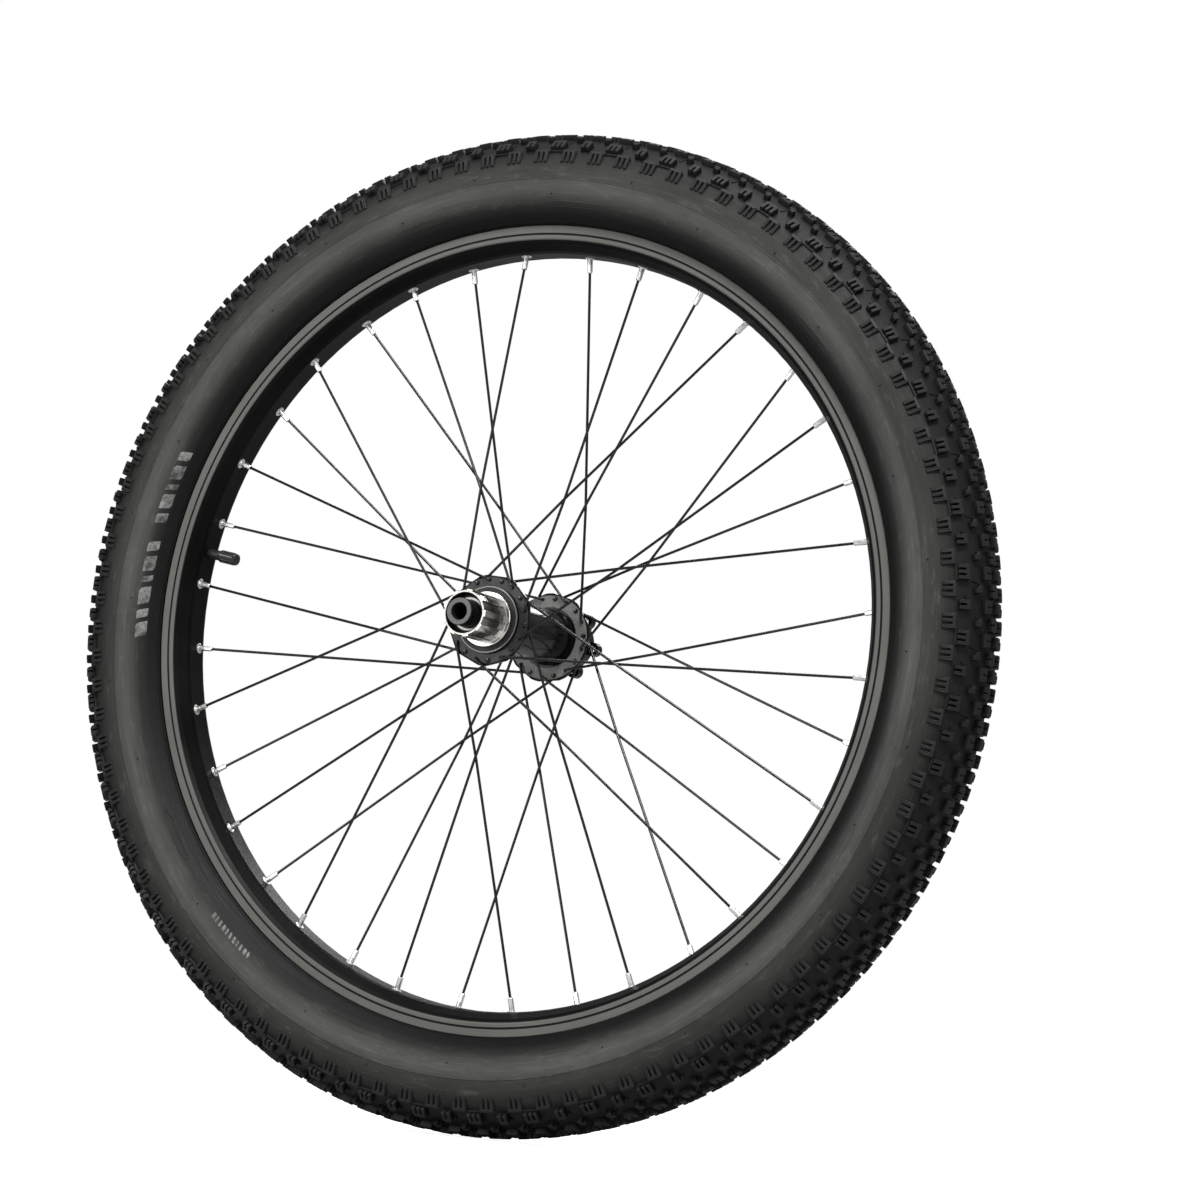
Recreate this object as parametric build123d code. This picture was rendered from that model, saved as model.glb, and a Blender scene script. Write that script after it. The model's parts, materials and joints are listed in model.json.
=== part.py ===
from build123d import *
import os
from math import cos, sin, tan, pi, radians, degrees, sqrt, hypot

# Rear bicycle wheel, millimetres.
# Origin: wheel centre (rim mid-plane on the axle axis). +Y along the axle from
# the drive side (freehub, -Y) to the disc-brake side (+Y), +Z up.
# Angles go from +X towards +Z.

# ------------------------------------------------------------------ rim, tyre
BEAD_R = 292.0            # ISO 584 bead seat
RIM_EDGE_R = 298.0
RIM_HALF_W = 20.7
RIM_INNER_HALF_W = 18.9
RIM_BED_R = 279.2         # face the nipples come out of
RIM_BED_T = 1.8
WELL_R = 287.4
CASING_C = 328.6          # centre radius of the casing's circular section
CASING_R = 37.2
CASING_IN = 35.8
CROWN_R = 45.0            # crown curvature across the tread
TREAD_TOP = 369.8
TREAD_HALF_W = 33.5
TAPE_T = 0.8
VALVE_A = 150.0           # valve hole, between two spoke holes
SET_A = 20.0              # the finished set is turned this far about the axle, so the valve stands at 170
VALVE_HOLE_R = 4.25

# --------------------------------------------------------------------- spokes
N_SIDE = 18
STAGGER = 4.0             # spoke holes sit this far either side of the rim's middle
SPOKE_R = 1.0
PCD_R = 29.25
BOW_R = 1.6               # bend radius of the elbow
ELBOW = 3.6               # elbow centre line from the flange's mid-plane
CROSS_A = 50.0            # third crossing, measured from the hub hole
CROSS_GAP = 1.06          # half the distance of two spokes where they weave
NIP_LOW = -10.8
EYE_BORE = 2.06

# ------------------------------------------------------------------------ hub
HALF_OLD = 98.5           # half of the 197 mm over-locknut width
FL_D = -51.0              # drive flange mid-plane
FL_K = 44.0               # disc-side flange mid-plane
FL_HALF_T = 1.5
FL_R = 33.4
FL_FLAT = 32.3            # nine flats
BARREL_R = 19.5
BARREL_IN = 16.5
MOUTH_Y = -55.5           # outer end of the hub shell on the drive side
MOUTH_R = 24.5
DISC_FACE_Y = 79.7
ROTOR_PCD = 44.0
ROTOR_HOLE_R = 2.5
REGISTER_R = 17.45
SHELL_END_Y = 82.7

AXLE_R = 7.5
AXLE_MID_R = 9.25
AXLE_BORE_R = 6.05
CAP_R = 10.0

# bearings: bore, outside, width
HB_R, HB_W = 14.0, 7.0    # hub bearings 15 x 28 x 7
FB_R, FB_W = 12.0, 5.0    # freehub bearings 15 x 24 x 5
HB_D = -42.5              # outer side of the drive hub bearing
HB_K = 73.5
FB_O = -84.0              # outer freehub bearing
FB_I = -50.5              # inner freehub bearing

FH_END = -91.0
FH_SPLINE_R = 17.25
FH_ROOT_R = 16.1
FH_SHOULDER_R = 20.0
FH_NOSE_R = 16.4
TEETH = 36
RAT_TIP, RAT_ROOT = 17.7, 18.9
RAT_OUT = 21.0
PAWL_PIVOT = 14.5
PAWL_R = 1.8
N_PAWL = 4


def pt(r, y, a):
    a = radians(a)
    return Vector(r * cos(a), y, r * sin(a))


def rev(pts):
    """Solid of revolution about Y from (radius, y) corners."""
    return revolve(make_face(Polyline(*pts, close=True)), Axis.Y, 360)


def ring(r0, r1, y0, y1):
    return rev([(r0, y0), (r1, y0), (r1, y1), (r0, y1)])


def rot(s, a):
    """Turn by a degrees in the sense +X to +Z."""
    return Rot(0, -a, 0) * s


def along(p, d, s):
    return Plane(origin=p, z_dir=d) * s


def rod(p, d, r, l, r2=None):
    c = Cylinder(r, l, align=(Align.CENTER, Align.CENTER, Align.MIN))
    return along(p, d, c)


def prism(pts, y0, y1):
    """Prism along Y from (x, z) corners."""
    f = Plane(origin=(0, y0, 0), x_dir=(1, 0, 0), z_dir=(0, -1, 0)) * make_face(Polyline(*pts, close=True))
    return extrude(f, amount=-(y1 - y0))


def disc_y(x, z, r, y0, y1):
    return rod(Vector(x, y0, z), Vector(0, 1, 0), r, y1 - y0)


OUT = {}


def put(name, shape):
    if isinstance(shape, Compound) and len(shape.solids()) > 1:
        OUT[name] = Compound(children=[rot(s, SET_A) for s in shape.solids()])
    else:
        OUT[name] = rot(shape, SET_A)


def group(shapes):
    out = []
    for s in shapes:
        out += list(s.solids())
    return Compound(children=out)


def nine(s):
    return [rot(s, 40 * k) for k in range(9)]


# ============================================================ spokes' geometry
def spoke_geo(side, outer):
    """One spoke: side -1 drive, +1 disc; outer = elbow on the flange's outer face.
    Returns head point, elbow, crossing, rim point and hub angle."""
    fl = FL_D if side < 0 else FL_K
    if side < 0:
        hub_a, turn = (35.0, 60.0) if outer else (15.0, -60.0)
    else:
        hub_a, turn = (25.0, -60.0) if outer else (5.0, 60.0)
    e = side if outer else -side
    rim_a = hub_a + turn
    sg = 1 if turn > 0 else -1
    head = pt(PCD_R, fl - e * FL_HALF_T, hub_a)
    elbow = pt(PCD_R, fl + e * ELBOW, hub_a)
    rim = pt(RIM_BED_R, side * STAGGER, rim_a)
    # third crossing lies on the chord from hub hole to rim hole
    h, n = pt(PCD_R, 0, hub_a), pt(RIM_BED_R, 0, rim_a)
    d = (n - h)
    best = None
    ca = radians(hub_a + sg * CROSS_A)
    # solve h + t d parallel to direction ca
    den = d.X * sin(ca) - d.Z * cos(ca)
    t = -(h.X * sin(ca) - h.Z * cos(ca)) / den
    c = h + d * t
    ym = fl + (side * STAGGER - fl) * t
    cross = Vector(c.X, ym - e * CROSS_GAP, c.Z)
    return head, elbow, cross, rim, e


SP = {}
for nm, side, outer in (("drive_outer", -1, True), ("drive_inner", -1, False),
                        ("disc_outer", 1, True), ("disc_inner", 1, False)):
    head, elbow, cross, rim_p, e = spoke_geo(side, outer)
    d = (rim_p - cross).normalized()
    SP[nm] = (rim_p, d)
    end = rim_p + d * 3.0
    path = FilletPolyline(head, elbow, cross, end, radius=BOW_R)
    wire = Wire(path.edges())
    shank = sweep(Plane(origin=head, z_dir=Vector(0, e, 0)) * Circle(SPOKE_R), path=wire)
    # domed head on the flange's far face
    cap = revolve(make_face(Polyline((0, 0), (1.85, 0), (1.85, 0.5), (1.35, 1.15), (0, 1.35), close=True)), Axis.Y, 360)
    # local +Y of the profile points away from the flange
    cap = (cap if e < 0 else Rot(180, 0, 0) * cap)
    cap = Pos(head.X, head.Y, head.Z) * cap
    spoke = shank + cap
    put(nm + "_spokes", group(nine(spoke)))

# =================================================================== nipples
nip = revolve(make_face(Plane.XZ * Polyline(
    (0, NIP_LOW), (1.55, NIP_LOW), (1.95, NIP_LOW + 0.9), (2.0, NIP_LOW + 1.2), (2.0, 3.0),
    (3.0, 4.0), (3.0, 4.7), (2.2, 5.4), (0, 5.6), close=True)), Axis.Z, 360)
flats = Pos(0, 0, NIP_LOW) * (Box(8, 8, 6.2, align=(Align.CENTER, Align.CENTER, Align.MIN))
                              - Box(3.45, 3.45, 6.2, align=(Align.CENTER, Align.CENTER, Align.MIN)))
nip = nip - flats - Cylinder(1.02, 30) - Pos(0, 0, 5.2) * Box(8, 1.0, 1.6)
eye = None
nipples, eyelets = [], []
for nm, (p, d) in SP.items():
    nipples += nine(along(p, d, nip))
    radial = Vector(p.X, 0, p.Z).normalized()
    body = revolve(make_face(Plane.XZ * Polyline(
        (0, -0.75), (3.3, -0.75), (3.9, -0.35), (3.9, -0.05), (3.08, -0.05), (3.08, RIM_BED_T + 0.02),
        (3.6, RIM_BED_T + 0.02), (3.3, RIM_BED_T + 0.6), (0, RIM_BED_T + 0.6), close=True)), Axis.Z, 360)
    body = along(p, radial, body) - along(p - d * 5, d, Cylinder(EYE_BORE, 14, align=(Align.CENTER, Align.CENTER, Align.MIN)))
    eyelets += nine(body)
put("spoke_nipples", group(nipples))
put("spoke_eyelets", group(eyelets))

# ======================================================================= rim
g = 0.9
outer_half = [(RIM_BED_R, 0), (RIM_BED_R, 8.6), (280.3, 11.6), (284.6, 18.2), (286.9, 20.1), (288.2, 20.7),
              (290.7, 20.7), (291.1, 20.25), (291.7, 20.25), (292.1, 20.7),
              (297.4, 20.7), (298.0, 20.1), (298.0, 18.2), (297.2, 17.6), (296.2, 17.7), (295.6, 18.9),
              (BEAD_R, 18.9), (BEAD_R, 14.4), (291.0, 13.2), (288.6, 12.0), (WELL_R, 10.6), (WELL_R, 0)]
prof = outer_half + [(r, -y) for r, y in reversed(outer_half[1:-1])]
rim = rev(prof)
cav_half = [(RIM_BED_R + RIM_BED_T, 0), (RIM_BED_R + RIM_BED_T, 8.6), (283.2, 12.6), (286.6, 17.2), (288.6, 18.6),
            (290.2, 18.4), (290.2, 15.0), (289.4, 13.9), (286.6, 12.6), (WELL_R - 1.5, 11.0), (WELL_R - 1.5, 0)]
cav = rev(cav_half + [(r, -y) for r, y in reversed(cav_half[1:-1])])
rim = rim - cav
tools = []
for nm, (p, d) in SP.items():
    radial = Vector(p.X, 0, p.Z).normalized()
    for k in range(9):
        tools.append(rot(along(p - radial * 2, radial, Cylinder(3.1, 5.0, align=(Align.CENTER, Align.CENTER, Align.MIN))), 40 * k))
        tools.append(rot(along(p + radial * 4.2, radial, Cylinder(4.6, 7.0, align=(Align.CENTER, Align.CENTER, Align.MIN))), 40 * k))
va = pt(1, 0, VALVE_A)
tools.append(rod(pt(270, 0, VALVE_A), va, VALVE_HOLE_R, 30))
rim = rim - tools
put("rim", rim)

# sleeve that joins the rim's ends, opposite the valve
SLEEVE_HALF_A = 2.8
sl_half = [(281.1, 0), (281.1, 8.0), (283.2, 11.6), (285.4, 11.4), (WELL_R - 1.65, 10.4), (WELL_R - 1.65, 0)]
sl_f = make_face(Polyline(*(sl_half + [(r, -y) for r, y in reversed(sl_half[1:-1])]), close=True))
sleeve = revolve(sl_f, Axis.Y, 2 * SLEEVE_HALF_A)
# revolve turns +X towards -Z; centre it on the far side of the valve
SLEEVE_A = VALVE_A + 180
sleeve = rot(sleeve, SLEEVE_A + SLEEVE_HALF_A)
sleeve = sleeve - rod(pt(276, 0, SLEEVE_A), pt(1, 0, SLEEVE_A), 2.0, 16)
put("rim_joint_sleeve", sleeve)

# tape in the well
tape_half = [(WELL_R + 0.05, 0), (WELL_R + 0.05, 10.4), (WELL_R + 0.05 + TAPE_T, 10.4), (WELL_R + 0.05 + TAPE_T, 0)]
tape = rev([(WELL_R + 0.05, -10.4), (WELL_R + 0.05, 10.4), (WELL_R + 0.05 + TAPE_T, 10.4), (WELL_R + 0.05 + TAPE_T, -10.4)])
tape = tape - rod(pt(280, 0, VALVE_A), va, 4.1, 20)
put("rim_tape", tape)


# ====================================================================== tyre
def on_circle(c, R, y, sgn=1):
    return (c + sgn * sqrt(R * R - y * y), y)


ct = TREAD_TOP - CROWN_R
A0 = on_circle(CASING_C, CASING_R, 21.45, -1)
A1 = (CASING_C, CASING_R)
A2 = on_circle(CASING_C, CASING_R, 32.6)
T0 = on_circle(ct, CROWN_R, TREAD_HALF_W)
T1 = on_circle(ct, CROWN_R, 18.0)
I0 = on_circle(CASING_C, CASING_IN, 22.5, -1)
I1 = (CASING_C, CASING_IN)


def neg(p):
    return (p[0], -p[1])


edges = [
    Line((292.0, 14.6), (292.0, 18.75)), Line((292.0, 18.75), (295.2, 18.75)),
    Line((295.2, 18.75), (296.0, 17.5)), Line((296.0, 17.5), (297.3, 17.4)), Line((297.3, 17.4), (298.2, 18.1)),
    Line((298.2, 18.1), (298.2, 21.45)), Line((298.2, 21.45), A0),
    ThreePointArc(A0, A1, A2), Line(A2, T0),
    ThreePointArc(T0, (TREAD_TOP, 0), neg(T0)),
    Line(neg(T0), neg(A2)), ThreePointArc(neg(A2), neg(A1), neg(A0)),
    Line(neg(A0), (298.2, -21.45)), Line((298.2, -21.45), (298.2, -18.1)), Line((298.2, -18.1), (297.3, -17.4)),
    Line((297.3, -17.4), (296.0, -17.5)), Line((296.0, -17.5), (295.2, -18.75)),
    Line((295.2, -18.75), (292.0, -18.75)), Line((292.0, -18.75), (292.0, -14.6)),
    Line((292.0, -14.6), (299.6, -16.0)), Line((299.6, -16.0), neg(I0)),
    ThreePointArc(neg(I0), (CASING_C + CASING_IN, 0), I0), Line(I0, (299.6, 16.0)), Line((299.6, 16.0), (292.0, 14.6)),
]
edges = [x for x in edges if x.length > 1e-6]
tyre = revolve(make_face(Wire(edges)), Axis.Y, 360)
put("tyre", tyre)

# inner tube: fills the tyre down to the rim's well
TI = CASING_IN - 0.3
J0 = on_circle(CASING_C, TI, 22.2, -1)
KI = TI - 0.9
K0 = on_circle(CASING_C, KI, 22.0, -1)
tube_out = make_face(Wire([ThreePointArc(J0, (CASING_C + TI, 0), neg(J0)), Line(neg(J0), (299.9, -15.7)), Line((299.9, -15.7), (291.3, -12.9)),
                           Line((291.3, -12.9), (289.2, -10.2)), Line((289.2, -10.2), (289.2, 10.2)),
                           Line((289.2, 10.2), (291.3, 12.9)), Line((291.3, 12.9), (299.9, 15.7)), Line((299.9, 15.7), J0)]))
tube_in = make_face(Wire([ThreePointArc(K0, (CASING_C + KI, 0), neg(K0)), Line(neg(K0), (300.8, -15.0)), Line((300.8, -15.0), (290.5, -9.6)),
                          Line((290.5, -9.6), (290.5, 9.6)), Line((290.5, 9.6), (300.8, 15.0)), Line((300.8, 15.0), K0)]))
tube = revolve(tube_out, Axis.Y, 360) - revolve(tube_in, Axis.Y, 360)
tube = tube - rod(pt(280, 0, VALVE_A), va, 4.06, 16)
put("inner_tube", tube)

# ===================================================================== valve
# local z runs from the tube towards the hub; z = 0 at radius 290.55
VB = pt(290.55, 0, VALVE_A)
vd = va * -1


def vrev(pts):
    return along(VB, vd, revolve(make_face(Plane.XZ * Polyline(*pts, close=True)), Axis.Z, 360))


# rubber-covered stem with the patch that is bonded to the tube's inside
stem = vrev([(2.62, -1.3), (7.5, -1.3), (8.2, -0.02), (4.04, -0.02), (4.04, 6.0), (3.85, 9.0), (3.85, 20.6), (3.3, 21.4), (2.62, 21.4)])
put("valve_stem", stem)
# brass barrel: threaded tip outside the rubber, bore for the core
barrel = vrev([(1.62, -1.6), (2.58, -1.6), (2.58, 21.45), (3.55, 21.45), (3.85, 21.9), (3.85, 31.2), (3.4, 31.8), (2.42, 31.8), (2.42, 25.0), (1.62, 23.4)])
put("valve_barrel", barrel)
core = vrev([(0.66, 12.0), (1.56, 12.0), (1.56, 23.4), (2.36, 25.4), (2.36, 29.6), (0.66, 29.6)])
put("valve_core", core)
pin = vrev([(0, 9.6), (1.4, 9.6), (1.4, 10.3), (0.6, 11.6), (0.6, 31.0), (0.35, 31.3), (0, 31.3)])
put("valve_pin", pin)
CAP0 = 22.2
cap_in = [(0, 33.6), (3.95, 33.6), (3.95, CAP0)]
vcap = vrev([(3.95, CAP0), (4.65, CAP0), (4.85, CAP0 + 0.4), (4.85, 34.2), (4.3, 36.4), (3.2, 37.2), (0, 37.4), (0, 33.8), (3.4, 33.8), (3.95, 33.2)])
ribs = []
for k in range(12):
    a = 2 * pi * k / 12
    ribs.append(along(VB, vd, Pos(4.95 * cos(a), 4.95 * sin(a), CAP0 + 0.8) * Cylinder(0.42, 11.0, align=(Align.CENTER, Align.CENTER, Align.MIN))))
vcap = vcap - ribs
put("valve_cap", vcap)

# ================================================================= hub shell
shell = rev([
    (23.4, MOUTH_Y), (MOUTH_R - 0.3, MOUTH_Y), (MOUTH_R, MOUTH_Y + 0.3), (MOUTH_R, -52.0), (25.6, -51.6),
    (25.6, -49.4), (23.4, -46.0), (21.0, -41.0), (BARREL_R, -34.0), (BARREL_R, FL_K - 3.4), (21.2, FL_K - 1.0),
    (21.2, FL_K + 1.4), (20.0, FL_K + 3.2), (18.6, FL_K + 8.0), (18.0, 60.0), (18.6, 68.0), (19.6, 71.5), (19.6, DISC_FACE_Y),
    (REGISTER_R, DISC_FACE_Y), (REGISTER_R, SHELL_END_Y - 0.4), (REGISTER_R - 0.4, SHELL_END_Y), (14.0, SHELL_END_Y),
    (14.0, HB_K), (12.2, HB_K), (12.2, HB_K - 2.2), (15.0, HB_K - 5.5), (BARREL_IN - 2.0, 50.0), (BARREL_IN, 40.0), (BARREL_IN, -30.5), (12.2, -33.2),
    (12.2, -35.5), (14.0, -35.5), (14.0, -43.6), (RAT_OUT, -43.6), (RAT_OUT, -53.8), (23.4, -53.8)])


def flange(y, flat0, r0):
    h = FL_HALF_T
    f = rev([(r0, y - h), (31.1, y - h), (FL_R, y - 0.55), (FL_R, y + 0.55), (31.1, y + h), (r0, y + h)])
    # nine rounded flats
    rc = FL_FLAT / cos(radians(20))
    poly = [(rc * cos(radians(flat0 + 20 + 40 * k)), rc * sin(radians(flat0 + 20 + 40 * k))) for k in range(9)]
    return f & prism(poly, y - 3, y + 3)


shell = shell + flange(FL_D, 25.0, 22.5) + flange(FL_K, 15.0, 18.5)
# brake-disc mount: six arms
arm_t = 7.2
arms = []
for k in range(6):
    a = 60.0 * k + 30.0
    c = pt(ROTOR_PCD / 2, 0, a)
    arms.append(disc_y(c.X, c.Z, 5.2, DISC_FACE_Y - arm_t, DISC_FACE_Y))
    w0, w1 = 6.2, 4.6
    ca, sa = cos(radians(a)), sin(radians(a))
    q = [(14, -w0), (22.0, -w1), (22.0, w1), (14, w0)]
    arms.append(prism([(x * ca - z * sa, x * sa + z * ca) for x, z in q], DISC_FACE_Y - arm_t, DISC_FACE_Y))
arms = [x - ring(0, 17.0, 60, 90) for x in arms]
shell = shell + arms
cuts = []
for k in range(6):
    c = pt(ROTOR_PCD / 2, 0, 60.0 * k + 30.0)
    cuts.append(disc_y(c.X, c.Z, ROTOR_HOLE_R, DISC_FACE_Y - arm_t - 1, DISC_FACE_Y + 1))
for fl, a0 in ((FL_D, 15.0), (FL_K, 5.0)):
    for k in range(N_SIDE):
        c = pt(PCD_R, 0, a0 + 20 * k)
        cuts.append(disc_y(c.X, c.Z, 1.32, fl - 2.2, fl + 2.2))
shell = shell - cuts
put("hub_shell", shell)

# ============================================================== ratchet ring
# teeth: steep faces look towards growing angle, ramps run the other way
pts = []
for k in range(TEETH):
    a0 = 10.0 * k
    pts.append((RAT_TIP * cos(radians(a0)), RAT_TIP * sin(radians(a0))))
    pts.append((RAT_ROOT * cos(radians(a0 + 0.6)), RAT_ROOT * sin(radians(a0 + 0.6))))
    pts.append((RAT_ROOT * cos(radians(a0 + 2.6)), RAT_ROOT * sin(radians(a0 + 2.6))))
    pts.append((RAT_TIP * cos(radians(a0 + 8.8)), RAT_TIP * sin(radians(a0 + 8.8))))
rat = ring(10, RAT_OUT, -52.6, -44.0) - prism(pts, -53, -43.5)
put("ratchet_ring", rat)
# rubber lip that closes the shell's mouth round the freehub's neck
put("freehub_seal", rev([(16.9, -55.3), (23.2, -55.3), (23.4, -55.1), (23.4, -53.8), (18.6, -53.8), (17.6, -54.3), (16.9, -54.9)]))

# =================================================================== bearings
def races(ro, w, y0):
    """Inner race, outer race, balls, cage, two seals for a bearing from y0 to y0+w."""
    ym = y0 + w / 2
    rb = 1.9 if ro > 13 else 1.5
    pr = (AXLE_R + ro) / 2
    gap = rb - 0.75
    tor = Plane(origin=(0, ym, 0), z_dir=(0, 1, 0)) * Torus(pr, rb + 0.03)
    inner = ring(AXLE_R + 0.005, pr - gap, y0, y0 + w) - tor
    outer = ring(pr + gap, ro - 0.005, y0, y0 + w) - tor
    n = 11 if ro > 13 else 12
    balls = [Pos(*pt(pr, ym, 360.0 / n * k)) * Sphere(rb) for k in range(n)]
    cage = ring(pr - 0.42, pr + 0.42, ym - rb - 0.27, ym + rb + 0.27)
    cage = cage - [rod(pt(pr - 2, ym, 360.0 / n * k), pt(1, 0, 360.0 / n * k), rb + 0.04, 4) for k in range(n)]
    seals = [ring(pr - gap + 0.06, pr + gap - 0.02, y0 + 0.15, y0 + 0.6), ring(pr - gap + 0.06, pr + gap - 0.02, y0 + w - 0.6, y0 + w - 0.15)]
    return inner, outer, balls, cage, seals


hb = [races(HB_R, HB_W, HB_D), races(HB_R, HB_W, HB_K)]
fb = [races(FB_R, FB_W, FB_O), races(FB_R, FB_W, FB_I)]
put("hub_bearing_inner_races", group([x[0] for x in hb]))
put("hub_bearing_outer_races", group([x[1] for x in hb]))
put("hub_bearing_seals", group([s for x in hb for s in x[4]]))
put("freehub_bearing_inner_races", group([x[0] for x in fb]))
put("freehub_bearing_outer_races", group([x[1] for x in fb]))
put("freehub_bearing_seals", group([s for x in fb for s in x[4]]))
for nm, b in (("drive_hub", hb[0]), ("disc_hub", hb[1]), ("outer_freehub", fb[0]), ("inner_freehub", fb[1])):
    put(nm + "_balls", group(b[2]))
    put(nm + "_cage", b[3])

# ================================================================ axle parts
axle = rev([(AXLE_BORE_R, -95.5), (AXLE_R - 0.3, -95.5), (AXLE_R, -95.2), (AXLE_R, HB_D + HB_W), (AXLE_MID_R, HB_D + HB_W),
            (AXLE_MID_R, HB_K), (AXLE_R, HB_K), (AXLE_R, 95.2), (AXLE_R - 0.3, 95.5), (AXLE_BORE_R, 95.5)])
put("axle", axle)
cr = AXLE_R + 0.01
put("drive_end_cap", rev([(AXLE_BORE_R + 0.5, -HALF_OLD), (CAP_R - 0.5, -HALF_OLD), (CAP_R, -HALF_OLD + 0.5), (CAP_R, FB_O - 1.6), (9.0, FB_O - 0.6),
                          (9.0, FB_O), (cr, FB_O), (cr, -95.6), (AXLE_BORE_R, -95.6), (AXLE_BORE_R, -HALF_OLD + 0.5)]))
kb = HB_K + HB_W
put("disc_end_cap", rev([(AXLE_BORE_R + 0.5, HALF_OLD), (CAP_R - 0.5, HALF_OLD), (CAP_R, HALF_OLD - 0.5), (CAP_R, 91.0), (13.2, 88.0), (13.2, kb + 0.8),
                         (12.8, kb + 0.4), (9.0, kb + 0.4), (9.0, kb), (cr, kb), (cr, 95.6), (AXLE_BORE_R, 95.6), (AXLE_BORE_R, HALF_OLD - 0.5)]))
put("freehub_bearing_spacer", ring(cr, 9.0, FB_O + FB_W, FB_I))
put("hub_bearing_spacer", ring(cr, 9.0, FB_I + FB_W, HB_D))

# =================================================================== freehub
body = rev([(14.9, FH_END), (FH_SPLINE_R - 0.35, FH_END), (FH_SPLINE_R, FH_END + 0.35), (FH_SPLINE_R, -58.4), (FH_SHOULDER_R - 0.3, -58.4), (FH_SHOULDER_R, -58.1),
            (FH_SHOULDER_R, -56.2), (FH_SHOULDER_R - 0.3, -55.9), (16.8, -55.9), (16.8, -54.0), (FH_NOSE_R, -53.6), (FH_NOSE_R, -44.2), (FH_NOSE_R - 0.4, -43.9), (12.0, -43.9),
            (12.0, FB_I), (10.6, FB_I), (10.6, FB_I - 2.0), (12.6, FB_I - 4.0), (13.2, -60.0), (13.2, -74.5), (10.6, -76.8), (10.6, FB_O + FB_W), (12.0, FB_O + FB_W),
            (12.0, FB_O), (14.9, FB_O)])
# nine grooves between the splines, one narrower
grooves = []
gaps = [(0, 24), (40, 24), (80, 24), (120, 24), (160, 24), (200, 24), (240, 24), (280, 24), (322, 20)]
for a, w in gaps:
    n = 6
    inn = [(FH_ROOT_R * cos(radians(a - w / 2 + w * i / n)), FH_ROOT_R * sin(radians(a - w / 2 + w * i / n))) for i in range(n + 1)]
    o = [(19.0 * cos(radians(a + w / 2 + 1)), 19.0 * sin(radians(a + w / 2 + 1))), (19.0 * cos(radians(a - w / 2 - 1)), 19.0 * sin(radians(a - w / 2 - 1)))]
    grooves.append(prism(inn + o, FH_END - 1, -59.2))
body = body - grooves


def pawl_poly():
    """Pawl outline for a pivot at angle 0: tip towards falling angle."""
    tip = (18.35 * cos(radians(-24.0)), 18.35 * sin(radians(-24.0)))
    tip2 = (16.6 * cos(radians(-25.2)), 16.6 * sin(radians(-25.2)))
    return [(16.2, 0.6), (16.5, -3.6), tip, tip2, (13.9, -4.6), (12.95, -0.9)]


TIP_A = -24.0
# pivots set so that each tip stands 3 degrees off a steep face, room enough to swing clear of it
PH = 3.0 - TIP_A
pawl = (disc_y(PAWL_PIVOT, 0, PAWL_R, -52.4, -45.2) + prism(pawl_poly(), -52.4, -45.2))
# groove for the ring spring
pawl = pawl - ring(14.7, 19.5, -49.3, -48.3)
pocket_pts = [(19.0, 1.2), (16.2, 0.9), (14.5, 0.5), (12.75, -0.5), (12.7, -4.6), (13.0, -7.4), (14.6, -8.6), (16.6, -9.0), (19.5, -9.6)]
pocket = disc_y(PAWL_PIVOT, 0, PAWL_R + 0.05, -52.5, -45.1) + prism(pocket_pts, -52.5, -45.1)
pockets, pawls = [], []
for k in range(N_PAWL):
    a = PH + 90.0 * k
    pockets.append(rot(pocket, a))
    pawls.append(rot(pawl, a))
body = body - pockets
# groove that holds the ring spring
body = body - ring(15.0, 17.0, -49.25, -48.35)
put("freehub_body", body)
for k in range(N_PAWL):
    put("pawl_%d" % (k + 1), pawls[k])
spring_f = Pos(15.62, -48.8) * Circle(0.38)
spring = revolve(spring_f, Axis.Y, 352)
spring = rot(spring, PH + 45)
put("pawl_ring_spring", spring)

if __name__ == "__main__":
    os.makedirs("parts", exist_ok=True)
    for name, shape in OUT.items():
        export_step(shape, "parts/%s.step" % name)
        vs = [s.volume for s in shape.solids()]
        print(name, len(vs), "solids", round(sum(vs) / 1000, 3), "cm3", "valid", all(s.is_valid for s in shape.solids()) if not callable(getattr(shape.solids()[0], "is_valid")) else all(s.is_valid() for s in shape.solids()))
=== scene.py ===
import json
import math
import random

import bmesh
import bpy
import numpy as np
from mathutils import Matrix, Vector


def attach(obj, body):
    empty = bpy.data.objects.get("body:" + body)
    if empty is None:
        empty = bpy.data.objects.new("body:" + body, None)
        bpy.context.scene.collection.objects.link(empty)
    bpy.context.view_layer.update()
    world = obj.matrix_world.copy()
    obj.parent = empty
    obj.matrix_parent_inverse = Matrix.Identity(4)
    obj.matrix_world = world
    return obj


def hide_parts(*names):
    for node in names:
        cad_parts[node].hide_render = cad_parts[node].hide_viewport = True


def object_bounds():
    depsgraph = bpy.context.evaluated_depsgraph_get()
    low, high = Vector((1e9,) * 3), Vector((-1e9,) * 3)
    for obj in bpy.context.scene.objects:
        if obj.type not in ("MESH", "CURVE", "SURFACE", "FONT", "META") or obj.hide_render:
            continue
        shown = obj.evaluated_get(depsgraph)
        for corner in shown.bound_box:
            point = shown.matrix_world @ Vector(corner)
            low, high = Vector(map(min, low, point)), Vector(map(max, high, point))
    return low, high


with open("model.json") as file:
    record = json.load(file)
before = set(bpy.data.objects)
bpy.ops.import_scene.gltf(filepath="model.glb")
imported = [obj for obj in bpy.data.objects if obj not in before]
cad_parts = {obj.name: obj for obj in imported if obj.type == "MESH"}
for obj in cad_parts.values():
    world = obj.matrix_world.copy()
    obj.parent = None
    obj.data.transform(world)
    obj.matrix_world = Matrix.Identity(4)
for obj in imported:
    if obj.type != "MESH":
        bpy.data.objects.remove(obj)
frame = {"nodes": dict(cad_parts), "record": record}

CAD_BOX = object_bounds()
random.seed(11)
MM = 0.001
SET_A = 20.0                    # the wheel's resting turn about its axle, as in the CAD


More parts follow.
